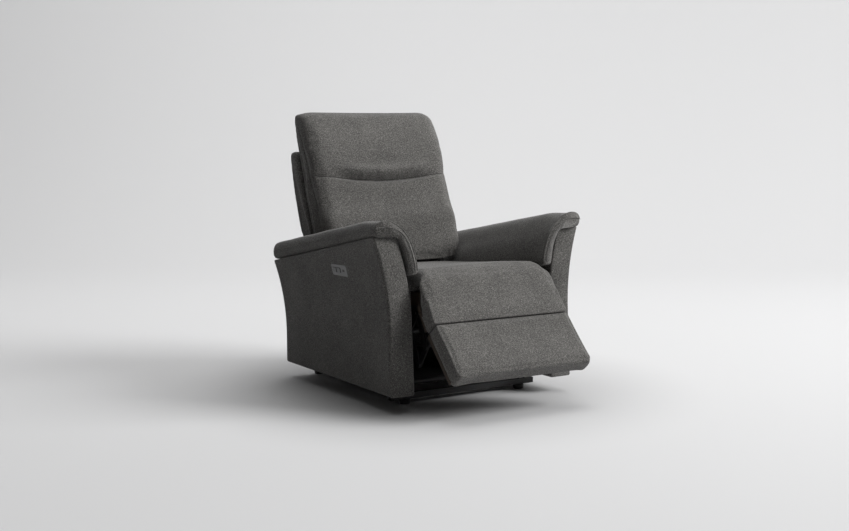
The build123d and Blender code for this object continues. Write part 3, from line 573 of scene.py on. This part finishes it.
def pad_depths():
    """Depths of a pad's cross-sections: closer together at its ends and at the end of its skirt."""
    depths = [PAD_FRONT + 0.012 * k for k in range(45)]
    depths += [SKIRT_END - 0.012 + 0.003 * k for k in range(5)]
    depths += [PAD_REAR - REAR_ROUNDING * (1 - math.cos(math.pi / 2 * k / 8)) for k in range(9)]
    depths += [mix(SKIRT_END + 0.010, PAD_REAR - 0.034, k / 12) for k in range(13)]
    depths = sorted(d for d in depths if d <= PAD_REAR)
    return [d for d, after in zip(depths, depths[1:] + [9.0]) if after - d > 0.0012]


def arm_pad(side, word):
    """Roll over the arm's top with a skirt down the inside; its front is a flat sewn face."""
    rings = []
    for y in pad_depths():
        wave = 0.0014 * noise.noise(Vector((side * 3.1, y * 9.0, 0.7)))
        rings.append([(side * (x + wave), y, z + wave) for x, z in curve_ring(pad_ring(y))])
    # the front face is padded too: a slightly smaller ring stands forward of it, each point drawn in
    # towards the one as far round the other way
    front = rings[0]
    swell = []
    for (x, y, z), (other_x, _, other_z) in zip(front, front[:1] + front[:0:-1]):
        swell.append((mix(x, other_x, 0.06), y - 0.0032, mix(z, other_z, 0.06)))
    rings.insert(0, swell)
    pad = skin_rings(f"{word}_arm_pad_fabric", rings)
    bevel(pad, 0.003, 3, 60)
    apply_modifiers(pad)
    return soft_piece(pad, "base", [f"{word}_arm_pad"])


def curve_ring(points):
    """The same closed ring with a point more between each two, on a smooth line."""
    count = len(points)
    ring = []
    for i in range(count):
        p0, p1, p2, p3 = (points[(i + k - 1) % count] for k in range(4))
        ring.append(p1)
        ring.append(spline(p0, p1, p2, p3, 0.5))
    return ring


def pad_front_seams(side, word):
    """Welts on the pad's front face: round its upper and inner edge, and a third of the way in."""
    edge = PAD_END[-2:] + PAD_TOP + PAD_INSIDE
    inside = [
        (0.4260, 0.0290), (0.4000, 0.0320), (0.3750, 0.0310), (0.3470, 0.0220), (0.3250, 0.0080),
        (0.3050, -0.0190), (0.2890, -0.0550), (0.2790, -0.0900), (0.2750, -0.1200)]
    for name, line, radius, forward in (("edge", edge, 0.0019, 0.0012), ("inner", inside, 0.0017, 0.0034)):
        y, base = PAD_FRONT - forward, pad_base(PAD_FRONT)
        path = [(side * x, y, base + rise) for x, rise in curve_through(line, 70)]
        welt = tube(f"{word}_arm_pad_{name}_welt", path, radius)
        soft_piece(welt, "base")
        beside = [(x + side * 0.0034, y - 0.0002, z - 0.0034) for x, y, z in path]
        row = dashes(f"{word}_arm_pad_{name}_stitches", beside, 0.0042, 0.0022, 0.00055)
        soft_piece(row, "base", material=thread)


def pad_side_seam(side, word):
    """Sewn line along the pad's outer side, over half-way up its thickness."""
    path = []
    for k in range(80):
        y = mix(PAD_FRONT - 0.002, PAD_REAR - REAR_ROUNDING, k / 79)
        rise = SIDE_SEAM + 0.004 * smooth_step(PAD_FRONT, PAD_FRONT + FULL_LENGTH, y)
        path.append((side * 0.4266, y, pad_base(y) + rise))
    welt = tube(f"{word}_arm_pad_side_welt", path, 0.0016)
    soft_piece(welt, "base")


def arm_seams(side, word):
    """Sewn lines beside the arm's front strip, on its outer face and below the skirt on its inner one."""
    outer_path = arm_seam_path(side, 0.011)
    inner_x = side * (ARM_OUTER - ARM_THICK - 0.0004)
    inner_path = [(inner_x, y, z) for _, y, z in outer_path if z < 0.44]
    for place, path in (("front", outer_path), ("inner", inner_path)):
        soft_piece(tube(f"{word}_arm_{place}_seam", path, 0.0013), "base")


for side, word in SIDES:
    arm_cover(side, word)
    arm_pad(side, word)
    pad_front_seams(side, word)
    pad_side_seam(side, word)
    arm_seams(side, word)


# ------------------------------------------------------------ back
HEAD_TOP = 1.0125
CORNER = 0.024                    # radius of the head's two top corners
# (Y, Z) of the cushions' front, upwards, and of their back, downwards
FRONT_LINE = [
    (0.241, 0.436), (0.253, 0.500), (0.271, 0.571), (0.287, 0.618), (0.313, 0.666), (0.338, 0.723),
    (0.361, 0.777), (0.371, 0.815), (0.388, 0.864), (0.413, 0.916), (0.447, 0.974), (0.476, 1.006),
    (0.512, 1.019)]
REAR_LINE = [
    (0.540, 1.012), (0.549, 0.988), (0.543, 0.950), (0.532, 0.905), (0.513, 0.852), (0.481, 0.770),
    (0.457, 0.690), (0.428, 0.619), (0.398, 0.548), (0.356, 0.437)]


def back_half(y, z):
    """Half-width of the back cushion: it narrows between the arm pads, and a little at its top."""
    low = mix(0.268, BACK_HALF, smooth_step(0.430, 0.512, z))
    return low - 0.004 * smooth_step(0.90, 1.0, z)


def seam_height(x):
    """The seam under the head: level at the sides, and dipping in the middle like a smile."""
    return SEAM_Z - 0.019 * max(0.0, 1 - (abs(x) / 0.25) ** 2) ** 1.3


def back_cushion():
    """Lumbar and head cushion under one cover, drawn in along the seam between them."""
    outline = curve_through(FRONT_LINE, 40) + curve_through(REAR_LINE, 26)
    outline = inset_profile(outline, [0.003] * len(outline))
    weights = [1.0] * 40 + [0.15] * 26
    cushion = rounded_prism("back_cushion_fabric", outline, back_half, 0.060, 0.026, weights)
    remesh(cushion, 0.0055, 3)
    puff(cushion, 0.006)

    def corners(co, normal):
        """Cuts the two top corners round, and keeps the width after the filling."""
        half = back_half(co.y, co.z)
        past = max(0.0, abs(co.x) - (half - CORNER))
        top = HEAD_TOP + 0.004 * (co.x / half) ** 2 - CORNER + math.sqrt(max(0.0, CORNER**2 - past**2))
        return Vector((math.copysign(min(abs(co.x), half), co.x) - co.x, 0.0, min(0.0, top - co.z)))

    def sew(co, normal):
        """Draws the seam in, and lets the head's pad sag over it with small puckers."""
        facing = max(0.0, -normal.y)
        above = co.z - seam_height(co.x)
        middle = 1 - smooth_step(0.12, 0.235, abs(co.x))
        pull = (0.0045 + 0.012 * middle) * bell(above - 0.001, 0.0065)
        pull += 0.009 * middle * bell(above - 0.008, 0.010)
        bulge = 0.013 * middle * bell(above - 0.036, 0.020) + 0.002 * middle * bell(above + 0.030, 0.022)
        broad = noise.noise(Vector((co.x * 42, 0.3, co.z * 5)))
        fine = noise.noise(Vector((co.x * 95, 2.3, co.z * 8)))
        pucker = 0.0022 * middle * bell(above - 0.018, 0.014) * (broad + 0.5 * fine)
        creases = noise.noise(Vector((co.x * 52, co.z * 30, 1.0)))
        gather = 0.0040 * bell(co.z - 1.006, 0.020) * bell(co.x + 0.03, 0.06) * creases
        loose = 0.0020 * noise.noise(Vector((co.x * 5.0, co.z * 6.0, 4.2)))
        return normal * (bulge - pull + pucker + gather + loose) * facing

    shape(cushion, corners)
    relax(cushion, 2)
    shape(cushion, sew)
    subdivide(cushion)
    apply_modifiers(cushion)
    soft_piece(cushion, "back", ["lumbar_cushion", "head_cushion"])
    return cushion


cushion = back_cushion()


def surface_points(obj, starts, direction):
    """Where rays from the start points along a direction meet an object's surface."""
    tree = BVHTree.FromObject(obj, bpy.context.evaluated_depsgraph_get())
    hits = [tree.ray_cast(Vector(start), Vector(direction), 0.5)[0] for start in starts]
    return [hit for hit in hits if hit is not None]


def side_boxing(side, word):
    """Welt on the cushion's side, where the front panel meets the boxing."""
    line = [
        (0.300, 0.505), (0.327, 0.580), (0.362, 0.655), (0.399, 0.722), (0.423, 0.780), (0.448, 0.850),
        (0.474, 0.915), (0.504, 0.956)]
    starts = [(side * 0.42, y, z) for y, z in curve_through(line, 60)]
    welt = tube(f"{word}_back_boxing_welt", surface_points(cushion, starts, (-side, 0, 0)), 0.0022)
    soft_piece(welt, "back")


def head_seam():
    """Sewn line between the head and the lumbar cushion, from one boxing welt to the other: a thin tube
    coloured as painted shade in the seam's crease, with a row of stitches just below it.
    """
    xs = [mix(-0.280, 0.280, k / 90) for k in range(91)]
    line = surface_points(cushion, [(x, 0.18, seam_height(x) - 0.001) for x in xs], (0, 1, 0))
    # the thin tube marks the sewn line, and its near-black colour is painted shade in the seam's crease
    soft_piece(tube("head_seam_shade_line", line, 0.0011), "back", material=seam_shadow)
    below = [point + Vector((0, -0.0004, -0.0042)) for point in line]
    stitches = dashes("head_seam_stitches", below, 0.004, 0.002, 0.0005)
    soft_piece(stitches, "back", material=thread)


head_seam()
for side, word in SIDES:
    side_boxing(side, word)

# (Y, Z) of the outer back's front, downwards, and of its rear, upwards
SHELL_LINE = [
    (0.519, 0.852), (0.486, 0.770), (0.461, 0.690), (0.432, 0.619), (0.402, 0.548), (0.360, 0.440),
    (0.322, 0.304)]
SHELL_BACK = [(0.430, 0.304), (0.488, 0.531), (0.546, 0.712), (0.573, 0.836), (0.566, 0.855), (0.545, 0.860)]


def shell_half(y, z):
    """Half-width of the outer back, which also narrows between the arms."""
    return mix(0.283, 0.3005, smooth_step(0.45, 0.60, z))


def back_shell():
    """The padded outer back: a soft-edged panel behind the cushions."""
    outline = curve_through(SHELL_LINE, 24) + curve_through(SHELL_BACK, 22)
    shell = rounded_prism("back_shell_fabric", outline, shell_half, 0.012, 0.010)
    remesh(shell, 0.007, 6)

    def fill(co, normal):
        facing = max(0.0, normal.y)
        return normal * facing * 0.003 * (1 - abs(co.x / BACK_HALF) ** 3)

    shape(shell, fill)
    return soft_piece(shell, "back", ["back_shell"])


back_shell()

# ------------------------------------------------------------ seat and leg rest
NOSE_ANGLES = [90 + 55 * k / 7 for k in range(8)]
BACK_CLEAR = 0.0016               # the cover's thickness behind the boards
SEAM_TAPER = math.tan(math.radians(6.4))  # the panels' meeting ends lean apart by this slope
ROUNDED, CRISP = 0.012, 0.004     # from a panel's edge: where its rounding starts, and where it ends
FACE_LIMIT = 0.069                # the furthest that a panel's crown stands from its back plane


def seat_width(y, z):
    """Half-width of the seat: between the arms, then wider in front of them."""
    return mix(LEG_HALF, SEAT_HALF, smooth_step(-0.348, -0.322, y))


def on_panel(co, origin, angle):
    """A point's place along a leg panel and out from its back plane."""
    c, s = math.cos(math.radians(angle)), math.sin(math.radians(angle))
    dy, dz = co.y - origin[0], co.z - origin[1]
    return -dy * c - dz * s, -dy * s + dz * c


def squared(co, origin, angle, first, last):
    """Holds a point inside a leg panel's box and draws its rounded edges out towards a crisp corner.

    first and last give the panel's two ends at a distance out from its back plane.
    """
    along, out = on_panel(co, origin, angle)
    start, end = first(out), last(out)
    along = mix(min(along, end), end, smooth_step(end - ROUNDED, end - CRISP, along))
    along = mix(start, max(along, start), smooth_step(start + CRISP, start + ROUNDED, along))
    if out < LEG_DEPTH:
        out = mix(out, LEG_DEPTH, smooth_step(LEG_DEPTH - ROUNDED, LEG_DEPTH - CRISP, out))
    out = min(max(out, -BACK_CLEAR), FACE_LIMIT)
    y, z = panel_point(origin, angle, along, out)
    return Vector((math.copysign(min(abs(co.x), LEG_HALF), co.x), y, z))


def round_knee(angle, radius):
    """(Y, Z) on a circle round the flap's hinge, the angle counted from straight back."""
    a = math.radians(angle)
    return (KNEE[0] + radius * math.cos(a), KNEE[1] + radius * math.sin(a))


def seat_and_flap():
    """Seat cushion whose cover runs over the front edge and down the flap, with no seam."""
    top = [(0.254, 0.424), (0.10, 0.436), (-0.08, 0.452), (-0.20, 0.466)]
    outline = curve_through(top, 20)
    radius = KNEE_RADIUS - 0.001
    outline += [round_knee(angle, radius) for angle in NOSE_ANGLES]
    for along in [0.02 + 0.0125 * k for k in range(11)]:
        outline.append(panel_point(KNEE, FLAP_ANGLE, along, LEG_DEPTH - 0.001))
    end = FLAP_LENGTH - 0.001
    for out in (0.0615, 0.050, 0.030, 0.012, -BACK_CLEAR):
        outline.append(panel_point(KNEE, FLAP_ANGLE, end - out * SEAM_TAPER, out))
    for along in (0.150, 0.110, 0.067):
        outline.append(panel_point(KNEE, FLAP_ANGLE, along, -BACK_CLEAR))
    outline.append(panel_point(KNEE, FLAP_ANGLE, 0.0645, 0.014))
    outline += [(-0.338, 0.405), (-0.325, 0.426), (-0.272, 0.426), (-0.262, 0.403)]
    outline += curve_through([(-0.20, 0.398), (0.0, 0.380), (0.254, 0.357)], 10)
    seat = rounded_prism("seat_and_flap_fabric", outline, seat_width, 0.018, 0.014)
    remesh(seat, 0.0055, 2)
    puff(seat, 0.004)

    def crown(co, normal):
        """Fuller in the middle of the seat, and a little down the flap."""
        across = 1 - min(1, abs(co.x) / 0.27) ** 2.4
        on_seat = max(0.0, normal.z) * smooth_step(-0.36, -0.30, co.y)
        on_flap = max(0.0, -normal.y) * (1 - smooth_step(-0.36, -0.31, co.y))
        loose = 0.0016 * noise.noise(Vector((co.x * 6, co.y * 6, co.z * 6 + 2.0)))
        return normal * (across * (0.008 * on_seat + 0.003 * on_flap) + loose)

    def tuck(co, normal):
        """Holds the flap's end and back flat, and the seat's sides between the arm pads."""
        along, out = on_panel(co, KNEE, FLAP_ANGLE)
        if along > 0.070:
            return squared(co, KNEE, FLAP_ANGLE, lambda out: 0.0, lambda out: end - out * SEAM_TAPER) - co
        half = seat_width(co.y, co.z) + 0.0008
        return Vector((math.copysign(min(abs(co.x), half), co.x) - co.x, 0, 0))

    shape(seat, crown)
    shape(seat, tuck)
    subdivide(seat)
    apply_modifiers(seat)
    soft_piece(seat, None, ["seat_cushion", "flap_pad"])
    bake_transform(seat)
    return seat


seat_and_flap()


def footrest_pad():
    """Lower leg panel: a thick pad, its cover drawn round the board behind it."""
    start = 0.0012
    bottom = FOOT_LENGTH - 0.0008
    places = [(start + out * SEAM_TAPER, out) for out in (0.008, 0.028, 0.048, 0.0625)]
    places += [(0.014 + 0.0155 * k, LEG_DEPTH + 0.0008) for k in range(13)]
    places += [(0.206, 0.0600), (0.2115, 0.0520), (bottom, 0.0430), (bottom, 0.0260), (0.2110, 0.0080)]
    places += [(along, -BACK_CLEAR) for along in (0.206, 0.160, 0.110, 0.060, 0.009)]
    outline = [panel_point(TOE, FOOT_ANGLE, along, out) for along, out in places]
    pad = rounded_prism("footrest_pad_fabric", outline, lambda y, z: LEG_HALF, 0.018, 0.014)
    remesh(pad, 0.0055, 2)
    puff(pad, 0.005)

    def crown(co, normal):
        across = 1 - min(1, abs(co.x) / 0.28) ** 3
        loose = 0.0014 * noise.noise(Vector((co.x * 7, co.y * 7, co.z * 7 + 5.0)))
        return normal * (0.003 * across * max(0.0, -normal.y) + loose)

    def tuck(co, normal):
        return squared(co, TOE, FOOT_ANGLE, lambda out: start + out * SEAM_TAPER, lambda out: bottom) - co

    shape(pad, crown)
    shape(pad, tuck)
    subdivide(pad)
    return soft_piece(pad, "footrest", ["footrest_pad"])


footrest_pad()


# ------------------------------------------------------------ cloths of the base
def cloth_sheet(name, across, along, point):
    """Thin closed sheet of across by along faces, placed by point(u, v, layer) with u and v from 0 to 1."""
    verts = []
    for layer in (0, 1):
        for j in range(along + 1):
            verts += [point(i / across, j / along, layer) for i in range(across + 1)]
    faces = []
    row = across + 1
    count = row * (along + 1)
    for j in range(along):
        for i in range(across):
            quad = (j * row + i, j * row + i + 1, (j + 1) * row + i + 1, (j + 1) * row + i)
            faces.append(quad)
            faces.append(tuple(k + count for k in reversed(quad)))
    border = list(range(row))
    border += [j * row + across for j in range(1, along + 1)]
    border += [along * row + i for i in range(across - 1, -1, -1)]
    border += [j * row for j in range(along - 1, 0, -1)]
    for first, after in zip(border, border[1:] + border[:1]):
        faces.append((first, first + count, after + count, after))
    return new_object(name, verts, faces)


def rear_apron():
    """Cloth stretched between the arms, below the back, with shallow folds towards its hem."""
    depth, low, high = 0.4585, 0.058, 0.345

    def point(u, v, layer):
        z = mix(low, high, v)
        x = mix(-1, 1, u) * (arm_half(depth, z, outer=False) - 0.0005)
        fold = 0.0022 * (1 - v) * math.sin(x * 42 + 1.3 * math.sin(x * 9))
        return (x, depth + fold + 0.0015 * layer, z)

    apron = cloth_sheet("rear_apron", 60, 14, point)
    return soft_piece(apron, "base")


def dust_cover():
    """Black cloth stretched between the base's side rails, a little slack in the middle; its near-black
    colour also stands in as painted shade for the dark under the seat.
    """
    half, front, rear = 0.2305, -0.183, 0.430

    def point(u, v, layer):
        slack = 0.004 * math.sin(math.pi * u) * math.sin(math.pi * v)
        return (mix(-half, half, u), mix(front, rear, v), 0.0652 - slack + 0.0012 * layer)

    cover = cloth_sheet("base_dust_cover_and_shade", 24, 30, point)
    return soft_piece(cover, "base", material=dust_cloth_and_shade)


dust_cover()
rear_apron()

# ------------------------------------------------------------ stage
BACKDROP_GLOW = 0.17
BACKDROP_TURN = -32.2             # the wall stands square to the camera
BEND_START, BEND_RADIUS = 3.5, 3.0
HALF_LENGTH = 14.0


def backdrop():
    """Floor that curves up into a wall far behind the chair."""
    profile = [(-9.0, 0.0), (BEND_START, 0.0)]
    for k in range(1, 13):
        a = math.pi / 2 * k / 12
        profile.append((BEND_START + BEND_RADIUS * math.sin(a), BEND_RADIUS - BEND_RADIUS * math.cos(a)))
    profile.append((BEND_START + BEND_RADIUS, 12.0))
    c, s = math.cos(math.radians(BACKDROP_TURN)), math.sin(math.radians(BACKDROP_TURN))
    verts = []
    for y, z in profile:
        for x in (-HALF_LENGTH, HALF_LENGTH):
            verts.append((x * c - y * s, x * s + y * c, z))
    faces = [(2 * i, 2 * i + 1, 2 * i + 3, 2 * i + 2) for i in range(len(profile) - 1)]
    wall = new_object("studio_backdrop", verts, faces)
    shade_smooth(wall)
    material, tree, shader = node_material("backdrop_paper", 0.9)
    shader.inputs["Base Color"].default_value = (0.60, 0.60, 0.604, 1)
    shader.inputs["Specular IOR Level"].default_value = 0.1
    # the paper glows for the camera alone, so that the chair isn't lit by it, and not near the chair,
    # where its shadow stays dark
    shader.inputs["Emission Color"].default_value = (1, 1, 1, 1)
    seen = add_node(tree, "ShaderNodeLightPath").outputs["Is Camera Ray"]
    position = add_node(tree, "ShaderNodeNewGeometry").outputs["Position"]
    distance = add_node(tree, "ShaderNodeVectorMath", {0: position}, operation="LENGTH").outputs["Value"]
    away = add_node(
        tree, "ShaderNodeMapRange", {"Value": distance, "From Min": 0.42, "From Max": 1.05},
        interpolation_type="SMOOTHSTEP").outputs["Result"]
    glow = math_node(tree, "MULTIPLY", seen, BACKDROP_GLOW)
    tree.links.new(math_node(tree, "MULTIPLY", glow, away), shader.inputs["Emission Strength"])
    wall.data.materials.append(material)


backdrop()


def area_light(name, place, target, size, power):
    light = bpy.data.lights.new(name, "AREA")
    light.shape = "SQUARE"
    light.size = size
    light.energy = power
    obj = bpy.data.objects.new(name, light)
    scene.collection.objects.link(obj)
    obj.location = place
    obj.rotation_euler = (Vector(target) - Vector(place)).to_track_quat("-Z", "Y").to_euler()


area_light("key_light", (6.6, -5.2, 5.6), (0.0, 0.0, 0.4), 5.0, 965)
area_light("top_light", (0.8, 0.6, 5.6), (0.0, 0.0, 0.4), 4.5, 140)
area_light("wall_light", (0.0, 3.4, 5.0), (0.6, 7.6, 1.2), 5.0, 75)

world = bpy.data.worlds.new("studio_world")
scene.world = world
world.use_nodes = True
world.node_tree.nodes["Background"].inputs["Color"].default_value = (1.0, 1.0, 1.0, 1)
world.node_tree.nodes["Background"].inputs["Strength"].default_value = 0.06

scene.view_settings.view_transform = "Standard"
scene.view_settings.look = "None"

camera_data = bpy.data.cameras.new("camera")
camera_data.sensor_width = 36
camera_data.lens = 54.44
camera = bpy.data.objects.new("camera", camera_data)
scene.collection.objects.link(camera)
camera.location = (-2.526, -3.947, 0.974)
camera.rotation_euler = (math.radians(83.621), 0, math.radians(-32.201))
scene.camera = camera
